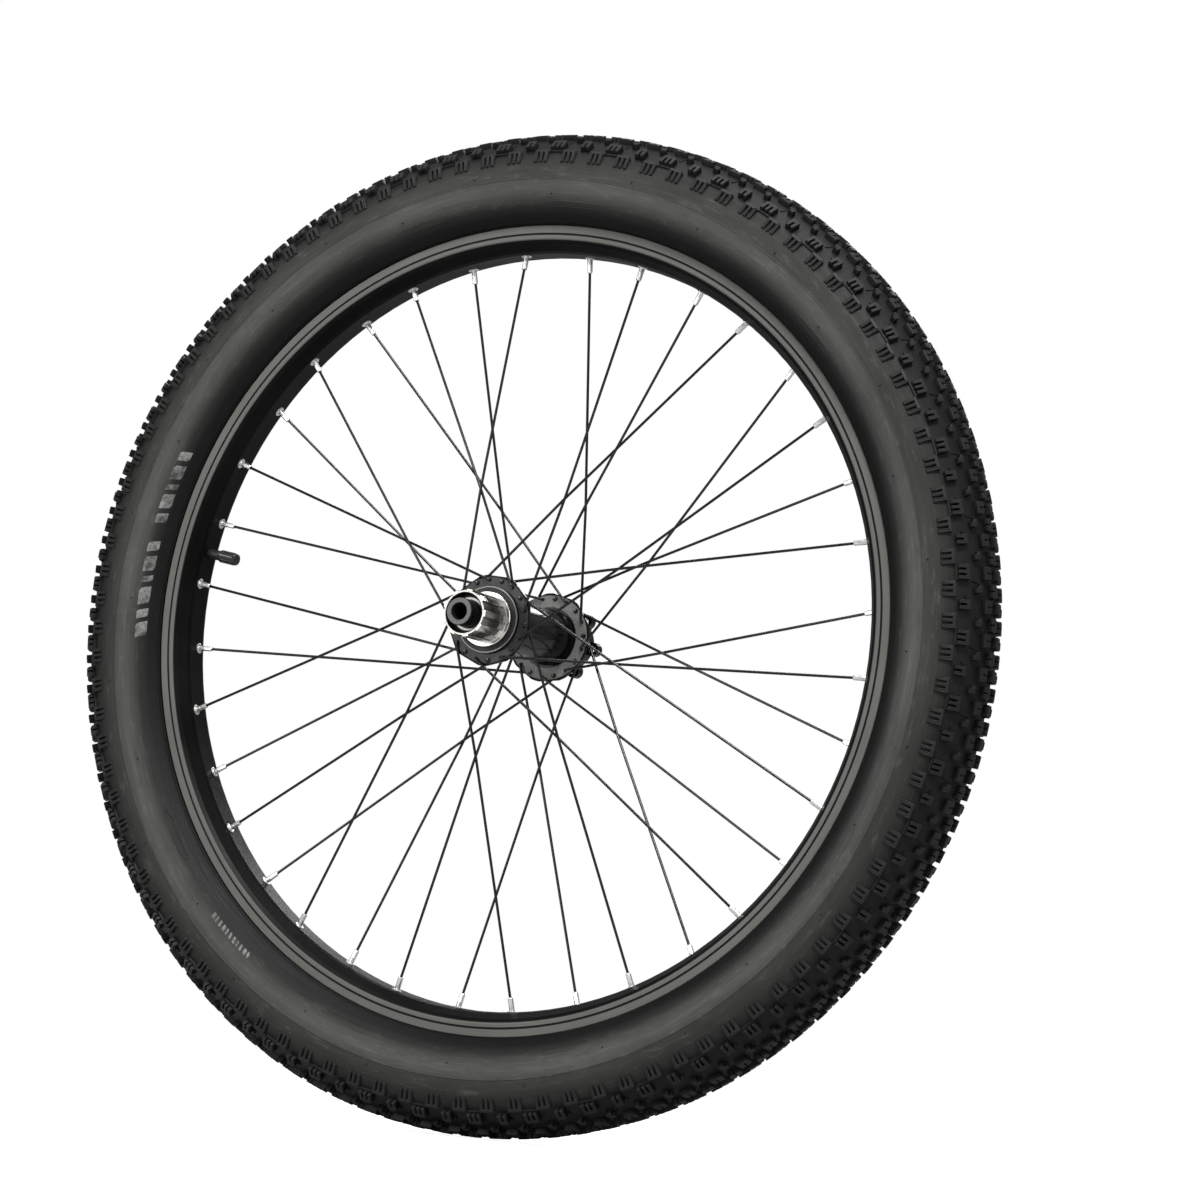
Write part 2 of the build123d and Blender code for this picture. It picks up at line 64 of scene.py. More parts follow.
# ============================================================ node helpers
class Tree:
    def __init__(self, name):
        self.mat = bpy.data.materials.new(name)
        self.mat.use_nodes = True
        self.nt = self.mat.node_tree
        self.b = self.nt.nodes["Principled BSDF"]
        self._tc = None
        self._cyl = None

    def n(self, kind, **attrs):
        x = self.nt.nodes.new(kind)
        for k, v in attrs.items():
            setattr(x, k, v)
        return x

    def put(self, sock, v):
        if isinstance(v, bpy.types.NodeSocket):
            self.nt.links.new(v, sock)
        else:
            sock.default_value = v

    def obj(self):
        if self._tc is None:
            self._tc = self.n("ShaderNodeTexCoord").outputs["Object"]
        return self._tc

    def math(self, op, a, b=0.0, c=None, clamp=False):
        m = self.n("ShaderNodeMath", operation=op, use_clamp=clamp)
        self.put(m.inputs[0], a)
        self.put(m.inputs[1], b)
        if c is not None:
            self.put(m.inputs[2], c)
        return m.outputs[0]

    def cyl(self):
        """Radius from the axle, place along it and turn about it, in metres and radians."""
        if self._cyl is None:
            s = self.n("ShaderNodeSeparateXYZ")
            self.put(s.inputs[0], self.obj())
            x, y, z = s.outputs
            r = self.math("SQRT", self.math("ADD", self.math("MULTIPLY", x, x), self.math("MULTIPLY", z, z)))
            self._cyl = (r, y, self.math("ARCTAN2", z, x))
        return self._cyl

    def vec(self, x, y, z):
        c = self.n("ShaderNodeCombineXYZ")
        for i, v in enumerate((x, y, z)):
            self.put(c.inputs[i], v)
        return c.outputs[0]

    def noise(self, scale, detail=3.0, rough=0.55, vector=None, distortion=0.0):
        t = self.n("ShaderNodeTexNoise")
        self.put(t.inputs["Vector"], self.obj() if vector is None else vector)
        t.inputs["Scale"].default_value = scale
        t.inputs["Detail"].default_value = detail
        t.inputs["Roughness"].default_value = rough
        t.inputs["Distortion"].default_value = distortion
        return t.outputs["Fac"]

    def voronoi(self, scale, feature="F1", vector=None):
        t = self.n("ShaderNodeTexVoronoi", feature=feature)
        self.put(t.inputs["Vector"], self.obj() if vector is None else vector)
        t.inputs["Scale"].default_value = scale
        return t.outputs["Distance"]

    def ramp(self, fac, stops, interp="LINEAR"):
        r = self.n("ShaderNodeValToRGB")
        r.color_ramp.interpolation = interp
        e = r.color_ramp.elements
        while len(e) < len(stops):
            e.new(0.5)
        for i, (p, c) in enumerate(stops):
            e[i].position = p
            e[i].color = (c, c, c, 1) if isinstance(c, (int, float)) else (*c, 1)
        self.put(r.inputs[0], fac)
        return r.outputs[0]

    def mix(self, fac, a, b, blend="MIX"):
        m = self.n("ShaderNodeMix", data_type="RGBA", blend_type=blend)
        self.put(m.inputs[0], fac)
        for s, v in ((m.inputs[6], a), (m.inputs[7], b)):
            if isinstance(v, tuple) and len(v) == 3:
                v = (*v, 1)
            self.put(s, v)
        return m.outputs[2]

    def rng(self, v, a, b, c, d, smooth=False):
        m = self.n("ShaderNodeMapRange", clamp=True)
        if smooth:
            m.interpolation_type = "SMOOTHSTEP"
        self.put(m.inputs[0], v)
        for i, k in enumerate((a, b, c, d)):
            self.put(m.inputs[i + 1], k)
        return m.outputs[0]

    def bump(self, height, dist, strength=1.0, normal=None):
        b = self.n("ShaderNodeBump")
        b.inputs["Strength"].default_value = strength
        b.inputs["Distance"].default_value = dist
        self.put(b.inputs["Height"], height)
        if normal is not None:
            self.put(b.inputs["Normal"], normal)
        return b.outputs[0]

    def set(self, color=None, rough=None, normal=None, **k):
        if color is not None:
            self.put(self.b.inputs["Base Color"], (*color, 1) if isinstance(color, tuple) else color)
        if rough is not None:
            self.put(self.b.inputs["Roughness"], rough)
        if normal is not None:
            self.put(self.b.inputs["Normal"], normal)
        for key, v in k.items():
            self.b.inputs[key.replace("_", " ").title().replace("Ior", "IOR")].default_value = v
        return self.mat


# ============================================================== materials
def section_angle(t):
    """Turn about the tyre's casing circle: 0 at the crown, 90 at the widest place, 145 at the rim."""
    r, y, a = t.cyl()
    return t.math("MULTIPLY", t.math("ARCTAN2", t.math("ABSOLUTE", y), t.math("SUBTRACT", r, 0.3286)), 180 / math.pi)


def rubber_body():
    t = Tree("tyre_casing")
    r, y, a = t.cyl()
    th = section_angle(t)
    f = t.math("DIVIDE", th, 150.0)
    # painted light across the section, over the rubber's own dark tone: the paler band at the wall's bulge is painted
    # sheen, and the darkening towards the bead is painted shade from the rim
    sheen_shade_band = t.ramp(f, [(0.0, (0.006, 0.006, 0.006)), (0.36, (0.008, 0.008, 0.008)), (0.46, (0.022, 0.0225, 0.021)),
                      (0.560, (0.032, 0.033, 0.031)), (0.594, (0.031, 0.032, 0.030)), (0.603, (0.048, 0.0495, 0.0465)),
                      (0.67, (0.060, 0.0615, 0.058)), (0.745, (0.040, 0.041, 0.039)), (0.80, (0.015, 0.0153, 0.0145)), (0.87, (0.004, 0.004, 0.004)), (1.0, (0.002, 0.002, 0.002))])
    big = t.noise(9.0, 4.0, 0.6)
    sweep = t.noise(1.0, 5.0, 0.62, vector=t.vec(t.math("MULTIPLY", a, 7.0), t.math("MULTIPLY", th, 0.35), t.math("MULTIPLY", y, 30.0)))
    grain = t.noise(900.0, 3.0, 0.6)
    c = t.mix(t.rng(big, 0.35, 0.7, 0.0, 1.0), sheen_shade_band, t.mix(1.0, sheen_shade_band, (1.45, 1.45, 1.42), "MULTIPLY"))
    c = t.mix(t.rng(sweep, 0.52, 0.78, 0.0, 0.55), c, t.mix(1.0, c, (1.9, 1.9, 1.85), "MULTIPLY"))
    # chalky scuffs where the wall bulges most
    scuff = t.math("MULTIPLY", t.rng(t.noise(55.0, 6.0, 0.72), 0.60, 0.74, 0.0, 1.0),
                   t.math("MULTIPLY", t.rng(th, 84.0, 90.0, 0.0, 1.0), t.rng(th, 96.0, 112.0, 1.0, 0.0)))
    c = t.mix(t.math("MULTIPLY", scuff, 0.35), c, (0.17, 0.17, 0.16))
    wipe = t.noise(1.0, 6.0, 0.7, vector=t.vec(t.math("MULTIPLY", a, 16.0), t.math("MULTIPLY", th, 0.11), t.math("MULTIPLY", r, 60.0)))
    wall = t.math("MULTIPLY", t.rng(th, 62.0, 74.0, 0.0, 1.0), t.rng(th, 112.0, 126.0, 1.0, 0.0))
    c = t.mix(t.math("MULTIPLY", t.rng(wipe, 0.55, 0.74, 0.0, 0.42), wall), c, (0.135, 0.137, 0.130))
    c = t.mix(t.math("MULTIPLY", t.rng(wipe, 0.26, 0.44, 0.55, 0.0), wall), c, t.mix(1.0, c, (0.45, 0.45, 0.45), "MULTIPLY"))
    speck = t.rng(t.voronoi(420.0), 0.0, 0.10, 0.22, 0.0)
    c = t.mix(t.math("MULTIPLY", speck, t.rng(big, 0.5, 0.65, 0.0, 1.0)), c, (0.16, 0.155, 0.145))
    rough = t.math("ADD", t.rng(sweep, 0.3, 0.8, 0.40, 0.56), t.math("MULTIPLY", grain, 0.10))
    n1 = t.bump(grain, 0.00022, 0.45)
    n2 = t.bump(t.noise(42.0, 3.0, 0.5), 0.0006, 0.5, n1)
    return t.set(c, rough, n2, specular_ior_level=0.17)


def rubber_knobs():
    t = Tree("tyre_tread")
    r, y, a = t.cyl()
    th = section_angle(t)
    big = t.noise(30.0, 4.0, 0.6)
    grain = t.noise(700.0, 3.0, 0.6)
    s = t.n("ShaderNodeSeparateXYZ")
    # height above the casing: paler towards the knob tops, darker at the roots
    rho = t.math("SQRT", t.math("ADD", t.math("POWER", t.math("SUBTRACT", r, 0.3286), 2.0), t.math("MULTIPLY", y, y)))
    top = t.rng(rho, 0.0385, 0.0408, 0.0, 1.0)
    c = t.mix(t.rng(big, 0.3, 0.72, 0.0, 1.0), (0.004, 0.004, 0.004), (0.010, 0.010, 0.0098))
    c = t.mix(t.math("MULTIPLY", top, 0.45), c, (0.024, 0.024, 0.023))
    shoulder = t.rng(th, 50.0, 60.0, 0.0, 0.6)
    c = t.mix(shoulder, c, (0.024, 0.0245, 0.0235))
    rough = t.rng(grain, 0.3, 0.75, 0.42, 0.62)
    n1 = t.bump(grain, 0.0002, 0.4)
    n2 = t.bump(t.noise(120.0, 2.0, 0.5), 0.0003, 0.5, n1)
    return t.set(c, rough, n2, specular_ior_level=0.2)


def worn_mark():
    t = Tree("sidewall_mark")
    wear = t.noise(150.0, 6.0, 0.75)
    soft = t.noise(28.0, 3.0, 0.6)
    k = t.math("ADD", t.rng(wear, 0.36, 0.62, 0.0, 0.75), t.rng(soft, 0.4, 0.7, -0.25, 0.2), clamp=True)
    c = t.mix(k, (0.045, 0.046, 0.044), (0.36, 0.36, 0.35))
    return t.set(c, t.rng(wear, 0.3, 0.7, 0.5, 0.75), t.bump(wear, 0.0003, 0.5), specular_ior_level=0.35)


def rim_paint():
    t = Tree("rim_anodised")
    r, y, a = t.cyl()
    ay = t.math("ABSOLUTE", y)
    # painted sheen: the rim is one black anodised alloy, and the sidewall band's paler grey is painted in for the
    # light it reflects
    wall = t.math("MULTIPLY", t.rng(ay, 0.0196, 0.0204, 0.0, 1.0), t.rng(r, 0.2868, 0.2878, 0.0, 1.0))
    # painted shade in the groove across the sidewall band
    groove_shade = t.math("MULTIPLY", t.rng(r, 0.2904, 0.2908, 0.0, 1.0), t.rng(r, 0.2920, 0.2924, 1.0, 0.0))
    turned = t.noise(1.0, 4.0, 0.6, vector=t.vec(t.math("MULTIPLY", r, 5200.0), t.math("MULTIPLY", y, 4200.0), t.math("MULTIPLY", a, 3.0)))
    cloud = t.noise(16.0, 4.0, 0.6)
    painted_sheen_grey = t.mix(t.rng(turned, 0.3, 0.7, 0.0, 1.0), (0.108, 0.111, 0.101), (0.152, 0.155, 0.142))
    painted_sheen_grey = t.mix(t.rng(cloud, 0.35, 0.7, 0.0, 0.6), painted_sheen_grey, (0.165, 0.168, 0.156))
    dark = t.mix(t.rng(cloud, 0.3, 0.7, 0.0, 1.0), (0.0025, 0.0025, 0.0027), (0.0055, 0.0055, 0.0058))
    c = t.mix(wall, dark, painted_sheen_grey)
    c = t.mix(t.math("MULTIPLY", groove_shade, 0.95), c, (0.004, 0.004, 0.004))
    scr = t.rng(t.noise(1.0, 5.0, 0.75, vector=t.vec(t.math("MULTIPLY", a, 60.0), t.math("MULTIPLY", r, 900.0), t.math("MULTIPLY", y, 700.0))), 0.66, 0.74, 0.0, 0.25)
    c = t.mix(t.math("MULTIPLY", scr, wall), c, (0.33, 0.33, 0.31))
    rough = t.mix(wall, t.rng(cloud, 0.3, 0.7, 0.30, 0.42), t.rng(turned, 0.3, 0.7, 0.36, 0.52))
    n1 = t.bump(turned, 0.00006, 0.35)
    n2 = t.bump(t.noise(600.0, 2.0, 0.5), 0.00005, 0.3, n1)
    return t.set(c, rough, n2, specular_ior_level=0.08)


def turned_metal(name, lo, hi, rough, freq=3500.0, scr=0.15, stain=None, bump=0.00004):
    """Metal cut on a lathe round the wheel's axle."""
    t = Tree(name)
    r, y, a = t.cyl()
    turned = t.noise(1.0, 4.0, 0.65, vector=t.vec(t.math("MULTIPLY", r, freq), t.math("MULTIPLY", y, freq), t.math("MULTIPLY", a, 1.5)))
    cloud = t.noise(90.0, 4.0, 0.6)
    c = t.mix(t.rng(turned, 0.3, 0.7, 0.0, 1.0), lo, hi)
    if stain is not None:
        c = t.mix(t.rng(cloud, 0.5, 0.72, 0.0, 0.55), c, stain)
    scratches = t.rng(t.noise(1400.0, 4.0, 0.8), 0.64, 0.72, 0.0, scr)
    c = t.mix(scratches, c, tuple(min(1.0, v * 1.5 + 0.02) for v in hi))
    rg = t.math("ADD", t.rng(cloud, 0.3, 0.7, rough - 0.05, rough + 0.08), t.math("MULTIPLY", turned, 0.06))
    n = t.bump(turned, bump, 0.4)
    return t.set(c, rg, n, metallic=1.0)


def black_alloy(name, lo=(0.009, 0.009, 0.0095), hi=(0.022, 0.022, 0.023), rough=0.22, machined=None, spec=0.4, coat=0.15, faces=False):
    """Black anodised or painted alloy; machined gives where the bare metal shows."""
    t = Tree(name)
    r, y, a = t.cyl()
    cloud = t.noise(70.0, 4.0, 0.6)
    fine = t.noise(900.0, 3.0, 0.6)
    c = t.mix(t.rng(cloud, 0.32, 0.7, 0.0, 1.0), lo, hi)
    nick = t.rng(t.noise(520.0, 5.0, 0.8), 0.68, 0.74, 0.0, 0.35)
    c = t.mix(nick, c, (0.16, 0.16, 0.16))
    if faces:
        # painted light on the flange faces: both are painted paler than the barrel, the far face much paler than the
        # near, for the light each catches
        far_face_lit = t.math("MULTIPLY", t.rng(y, 0.0423, 0.0424, 0.0, 1.0), t.rng(y, 0.0427, 0.0428, 1.0, 0.0))
        near_face_lit = t.math("MULTIPLY", t.rng(y, -0.0527, -0.0526, 0.0, 1.0), t.rng(y, -0.0523, -0.0522, 1.0, 0.0))
        ring_ = t.rng(r, 0.0225, 0.0232, 0.0, 1.0)
        c = t.mix(t.math("MULTIPLY", far_face_lit, ring_), c, t.mix(t.rng(fine, 0.3, 0.7, 0.0, 1.0), (0.12, 0.122, 0.117), (0.20, 0.202, 0.195)))
        c = t.mix(t.math("MULTIPLY", near_face_lit, ring_), c, t.mix(t.rng(fine, 0.3, 0.7, 0.0, 1.0), (0.020, 0.020, 0.020), (0.045, 0.045, 0.044)))
    rg = t.math("ADD", t.rng(cloud, 0.3, 0.7, rough - 0.03, rough + 0.05), t.math("MULTIPLY", fine, 0.04))
    n = t.bump(fine, 0.000015, 0.25)
    if machined is not None:
        k = machined(t, r, y, a)
        turned = t.noise(1.0, 3.0, 0.6, vector=t.vec(t.math("MULTIPLY", r, 4000.0), t.math("MULTIPLY", y, 4000.0), a))
        c = t.mix(k, c, t.mix(t.rng(turned, 0.3, 0.7, 0.0, 1.0), (0.50, 0.50, 0.49), (0.74, 0.74, 0.72)))
        t.put(t.b.inputs["Metallic"], k)
    return t.set(c, rg, n, specular_ior_level=spec, coat_weight=coat, coat_roughness=0.12)


def spoke_paint():
    t = Tree("spoke_black_steel")
    r, y, a = t.cyl()
    cloud = t.noise(40.0, 3.0, 0.6)
    fine = t.noise(1500.0, 3.0, 0.6)
    c = t.mix(t.rng(cloud, 0.3, 0.7, 0.0, 1.0), (0.002, 0.002, 0.0022), (0.006, 0.006, 0.0063))
    # brighter patches on the spoke near its elbow end, towards the hub
    worn = t.math("MULTIPLY", t.rng(r, 0.026, 0.036, 1.0, 0.0), t.rng(fine, 0.52, 0.66, 0.0, 0.8))
    c = t.mix(worn, c, (0.11, 0.11, 0.11))
    return t.set(c, t.rng(fine, 0.3, 0.7, 0.12, 0.20), t.bump(fine, 0.00002, 0.2), specular_ior_level=0.5, coat_weight=0.0, coat_roughness=0.1)


def freehub_metal():
    t = Tree("freehub_silver")
    r, y, a = t.cyl()
    turned = t.noise(1.0, 4.0, 0.65, vector=t.vec(t.math("MULTIPLY", r, 2600.0), t.math("MULTIPLY", y, 900.0), t.math("MULTIPLY", a, 1.5)))
    drawn = t.noise(1.0, 4.0, 0.6, vector=t.vec(t.math("MULTIPLY", a, 26.0), t.math("MULTIPLY", y, 30.0), 0.0))
    cloud = t.noise(90.0, 4.0, 0.6)
    c = t.mix(t.rng(turned, 0.3, 0.7, 0.0, 1.0), (0.74, 0.725, 0.71), (0.95, 0.94, 0.92))
    # darker, browner in the roots between the splines
    root = t.math("MULTIPLY", t.rng(r, 0.01615, 0.01705, 1.0, 0.0), t.rng(y, -0.0600, -0.0588, 1.0, 0.0))
    c = t.mix(t.math("MULTIPLY", root, 0.82), c, t.mix(t.rng(drawn, 0.35, 0.65, 0.0, 1.0), (0.10, 0.085, 0.075), (0.40, 0.36, 0.33)))
    c = t.mix(t.rng(drawn, 0.55, 0.72, 0.0, 0.35), c, (0.26, 0.22, 0.20))
    # painted shade: the inside of the recess at the freehub's open end is painted near-black, and made rougher
    recess_shade = t.math("MULTIPLY", t.rng(r, 0.01503, 0.01512, 1.0, 0.0), t.rng(y, -0.0897, -0.0888, 0.0, 1.0))
    c = t.mix(recess_shade, c, t.mix(t.rng(turned, 0.3, 0.7, 0.0, 1.0), (0.010, 0.010, 0.010), (0.035, 0.034, 0.033)))
    rg = t.math("ADD", t.rng(cloud, 0.3, 0.7, 0.10, 0.20), t.math("MULTIPLY", turned, 0.05))
    rg = t.math("ADD", rg, t.math("MULTIPLY", recess_shade, 0.3))
    return t.set(c, rg, t.bump(drawn, 0.00012, 0.5), metallic=1.0)


def plated(name, lo, hi, rough, grime=(0.16, 0.13, 0.10), amount=0.4, freq=240.0):
    """Small plated metal parts, with a little grime in patches."""
    t = Tree(name)
    cloud = t.noise(freq, 4.0, 0.65)
    fine = t.noise(2200.0, 3.0, 0.6)
    c = t.mix(t.rng(fine, 0.3, 0.7, 0.0, 1.0), lo, hi)
    c = t.mix(t.rng(cloud, 0.54, 0.74, 0.0, amount), c, grime)
    return t.set(c, t.math("ADD", t.rng(cloud, 0.3, 0.7, rough - 0.05, rough + 0.12), t.math("MULTIPLY", fine, 0.05)),
                 t.bump(fine, 0.00003, 0.35), metallic=1.0)


def moulded(name, lo, hi, rough, spec=0.45, scale=1100.0, depth=0.0001):
    """Moulded rubber or plastic."""
    t = Tree(name)
    cloud = t.noise(130.0, 4.0, 0.6)
    fine = t.noise(scale, 3.0, 0.6)
    c = t.mix(t.rng(cloud, 0.3, 0.7, 0.0, 1.0), lo, hi)
    dust = t.rng(t.noise(380.0, 5.0, 0.75), 0.64, 0.74, 0.0, 0.3)
    c = t.mix(dust, c, tuple(min(1.0, v * 3 + 0.05) for v in hi))
    return t.set(c, t.rng(fine, 0.3, 0.7, rough - 0.06, rough + 0.08), t.bump(fine, depth, 0.4), specular_ior_level=spec)


def hub_machined(t, r, y, a):
    face = t.rng(y, 0.07958, 0.07964, 0.0, 1.0)
    mouth = t.math("MULTIPLY", t.rng(y, -0.05545, -0.05538, 1.0, 0.0), t.rng(r, 0.0222, 0.0225, 0.0, 1.0))
    return t.math("MAXIMUM", face, t.math("MULTIPLY", mouth, 0.3))


def end_face(t, r, y, a):
    return t.math("MULTIPLY", t.rng(t.math("ABSOLUTE", y), 0.09838, 0.09845, 0.0, 1.0), t.rng(r, 0.0, 0.1, 0.16, 0.16))


MATS = {
    "rim_alloy": rim_paint(),
    "bare_alloy": turned_metal("turned_alloy", (0.52, 0.52, 0.51), (0.70, 0.70, 0.69), 0.30),
    "eyelet_steel": plated("eyelet_plate", (0.70, 0.69, 0.67), (0.90, 0.89, 0.87), 0.30),
    "nipple_brass": plated("nipple_plate", (0.84, 0.83, 0.81), (0.96, 0.95, 0.94), 0.34, amount=0.2, freq=500.0),
    "spoke_steel": spoke_paint(),
    "hub_alloy": black_alloy("hub_black", (0.002, 0.002, 0.0022), (0.005, 0.005, 0.0052), rough=0.12, machined=hub_machined, spec=0.2, coat=0.0, faces=True),
    "axle_alloy": black_alloy("axle_black", (0.012, 0.012, 0.0125), (0.024, 0.024, 0.0245), rough=0.30),
    "cap_alloy": black_alloy("end_cap_black", (0.006, 0.006, 0.0065), (0.014, 0.014, 0.0145), rough=0.26, machined=end_face, spec=0.3, coat=0.0),
    "freehub_alloy": freehub_metal(),
    "hard_steel": plated("hardened_steel", (0.26, 0.255, 0.25), (0.40, 0.39, 0.38), 0.30, amount=0.5),
    "bearing_steel": turned_metal("bearing_ground", (0.20, 0.20, 0.20), (0.30, 0.30, 0.30), 0.22, freq=5000.0),
    "ball_steel": plated("ball_polish", (0.70, 0.70, 0.70), (0.80, 0.80, 0.80), 0.08, amount=0.08),
    "cage_nylon": moulded("cage_moulded", (0.020, 0.020, 0.026), (0.034, 0.034, 0.042), 0.45),
    "seal_rubber": moulded("seal_lip", (0.007, 0.007, 0.007), (0.014, 0.014, 0.014), 0.48),
    "valve_rubber": moulded("valve_coat", (0.009, 0.009, 0.009), (0.018, 0.018, 0.018), 0.40),
    "valve_brass": plated("valve_metal", (0.50, 0.42, 0.26), (0.66, 0.56, 0.36), 0.22, amount=0.3),
    "cap_plastic": moulded("cap_gloss", (0.008, 0.008, 0.008), (0.015, 0.015, 0.015), 0.24, spec=0.6),
    "spring_steel": plated("spring_wire", (0.34, 0.34, 0.34), (0.46, 0.46, 0.46), 0.22),
    "tube_rubber": moulded("tube_skin", (0.012, 0.012, 0.012), (0.022, 0.022, 0.022), 0.55),
    "tape_nylon": moulded("rim_tape_weave", (0.30, 0.045, 0.035), (0.42, 0.07, 0.05), 0.55, scale=1600.0),
}
MAT_TYRE, MAT_TREAD, MAT_MARK = rubber_body(), rubber_knobs(), worn_mark()

slots = {s["node"]: s["material_slot"] for s in frame["record"]["subparts"]}
for nm, ob in frame["nodes"].items():
    m = MATS.get(slots[nm], MAT_TYRE)
    if not ob.material_slots:
        ob.data.materials.append(m)
    for sl in ob.material_slots:
        sl.material = m


# ================================================================= tyre
CC, CR = 328.6, 37.2            # casing circle of the section: centre radius, own radius
PITCHES = 98
PITCH = 2 * math.pi / PITCHES
A_START = math.radians(0.9 + SET_A)


def mesh_object(name, verts, faces, mat, smooth=True, recalc=False):
    me = bpy.data.meshes.new(name)
    me.from_pydata([tuple(v) for v in verts], [], faces)
    me.materials.append(mat)
    if recalc:
        bm = bmesh.new()
        bm.from_mesh(me)
        bmesh.ops.recalc_face_normals(bm, faces=bm.faces)
        bm.to_mesh(me)
        bm.free()
    me.polygons.foreach_set("use_smooth", [smooth] * len(me.polygons))
    me.update()
    ob = bpy.data.objects.new(name, me)
    bpy.context.scene.collection.objects.link(ob)
    return ob


def section_pt(th, rho):
    """Place in the half section: th degrees from the crown, rho mm from the casing circle's centre."""
    return CC + rho * math.cos(math.radians(th)), rho * math.sin(math.radians(th))


def bulge(th):
    """Small moulded relief on the casing, in mm."""
    h = 0.0
    for at, half, up in ((89.4, 0.75, 0.30), (141.2, 0.9, 0.35), (130.5, 0.5, 0.10)):
        d = abs(th - at) / half
        if d < 1:
            h += up * 0.5 * (1 + math.cos(math.pi * d))
    # the wall above the line, where the tread's wing ends, is left at its height: the step is zero
    if th < 89.4:
        h -= 0.0
    if 60.0 < th < 66.0:
        h += 0.35 * (66.0 - th) / 6.0
    elif th <= 60.0:
        h += 0.35 * max(0.0, (th - 40.0) / 20.0)
    return h


prof = []
for th in np.concatenate([np.linspace(0, 60, 26, endpoint=False), np.linspace(60, 88, 16, endpoint=False),
                          np.linspace(88, 91, 13, endpoint=False), np.linspace(91, 129, 22, endpoint=False),
                          np.linspace(129, 132, 7, endpoint=False), np.linspace(132, 144.8, 25)]):
    prof.append(section_pt(th, CR + bulge(th)))
prof += [(298.2, 21.2), (298.2, 18.1), (297.3, 17.4), (296.0, 17.5), (295.2, 18.75), (292.0, 18.75), (292.0, 14.6), (299.6, 16.0), (300.75, 22.5)]
th_in = 180 - math.degrees(math.asin(22.5 / 35.8))
prof += [section_pt(t_, 35.8) for t_ in np.linspace(th_in, 0, 24)][1:]
loop = prof + [(r_, -y_) for r_, y_ in reversed(prof[1:-1])]
SEG = PITCHES * 5
P = np.array(loop) * MM
ang = np.arange(SEG) * 2 * math.pi / SEG
V = np.empty((SEG, len(P), 3))
V[:, :, 0] = np.cos(ang)[:, None] * P[:, 0]
V[:, :, 1] = P[:, 1]
V[:, :, 2] = np.sin(ang)[:, None] * P[:, 0]
n_ = len(P)
F = []
for i in range(SEG):
    j = (i + 1) % SEG
    for k in range(n_):
        l = (k + 1) % n_
        F.append((i * n_ + k, i * n_ + l, j * n_ + l, j * n_ + k))
casing = mesh_object("tyre_casing", V.reshape(-1, 3), F, MAT_TYRE, True, True)


def env(th):
    """Height of the knobs' envelope over the casing, in mm."""
    a = abs(th)
    if a < 51.8:
        return -3.8 * math.cos(math.radians(a)) + math.sqrt(45.0 ** 2 - (3.8 * math.sin(math.radians(a))) ** 2) - CR
    return max(0.6, 5.3 - (a - 51.8) * 0.255)


def inset(poly, d):
    """Mitred inset of a closed outline given counter-clockwise."""
    out = []
    n = len(poly)
    for i in range(n):
        p0, p1, p2 = (np.array(poly[i - 1]), np.array(poly[i]), np.array(poly[(i + 1) % n]))
        e1, e2 = p1 - p0, p2 - p1
        n1 = np.array((-e1[1], e1[0])) / max(1e-9, np.hypot(*e1))
        n2 = np.array((-e2[1], e2[0])) / max(1e-9, np.hypot(*e2))
        b = n1 + n2
        q = max(0.35, float(b @ b) / 2)
        out.append(tuple(p1 + b * d / q))
    return out


def ccw(poly):
    s = sum(poly[i - 1][0] * poly[i][1] - poly[i][0] * poly[i - 1][1] for i in range(len(poly)))
    return poly if s > 0 else list(reversed(poly))


def comb(u0, u1, w, cuts, slot, floor, chamfer=0.8):
    """Block outline like a comb: open slots from the low-u side, so the teeth point down the sidewall."""
    h = w / 2
    pts = [(u1 - chamfer, -h), (u1, -h + chamfer), (u1, h - chamfer), (u1 - chamfer, h), (u0, h)]
    for c in sorted(cuts, reverse=True):
        pts += [(u0, c + slot / 2), (floor, c + slot / 2), (floor, c - slot / 2), (u0, c - slot / 2)]
    pts += [(u0, -h)]
    return ccw(pts)


def slab(u0, u1, w0, w1, skew=0.0, chamfer=0.7):
    """Four-sided block with cut corners; w0 is its width at u0, w1 at u1."""
    a, b = w0 / 2, w1 / 2
    pts = [(u0, -a), (u1 - chamfer, -b + skew), (u1, -b + skew + chamfer), (u1, b + skew - chamfer), (u1 - chamfer, b + skew), (u0, a)]
    return ccw(pts)


TV, TF = [], []


def add_block(poly, th0, a0, side, top, draft=0.10, bevel=0.32, taper=None, sink=0.7):
    """poly in mm: u towards the crown from th0, v round the wheel. top(th) is the height in mm."""
    thc = th0 - math.degrees((sum(p[0] for p in poly) / len(poly)) / CR)
    rc = CC + CR * math.cos(math.radians(thc))
    rings = []
    for kind in range(3):
        if kind == 0:
            pp = inset(poly, -0.28)
        elif kind == 1:
            pp = inset(poly, draft)
        else:
            pp = inset(poly, draft + bevel)
        ring_ = []
        for (u, v) in pp:
            th = th0 - math.degrees(u / CR)
            h = top(th)
            hh = -sink if kind == 0 else (h - bevel * 0.9 if kind == 1 else h)
            r_, y_ = section_pt(th, CR + hh)
            ph = a0 + v / rc
            ring_.append((r_ * MM * math.cos(ph), side * y_ * MM, r_ * MM * math.sin(ph)))
        rings.append(ring_)
    base = len(TV)
    n = len(poly)
    for ring_ in rings:
        TV.extend(ring_)
    for k in range(2):
        for i in range(n):
            j = (i + 1) % n
            q = (base + k * n + i, base + k * n + j, base + (k + 1) * n + j, base + (k + 1) * n + i)
            TF.append(q if side < 0 else q[::-1])
    cap = tuple(base + 2 * n + i for i in range(n))
    TF.append(cap if side < 0 else cap[::-1])


def jitter(v):
    return v * (1 + random.uniform(-0.04, 0.04))


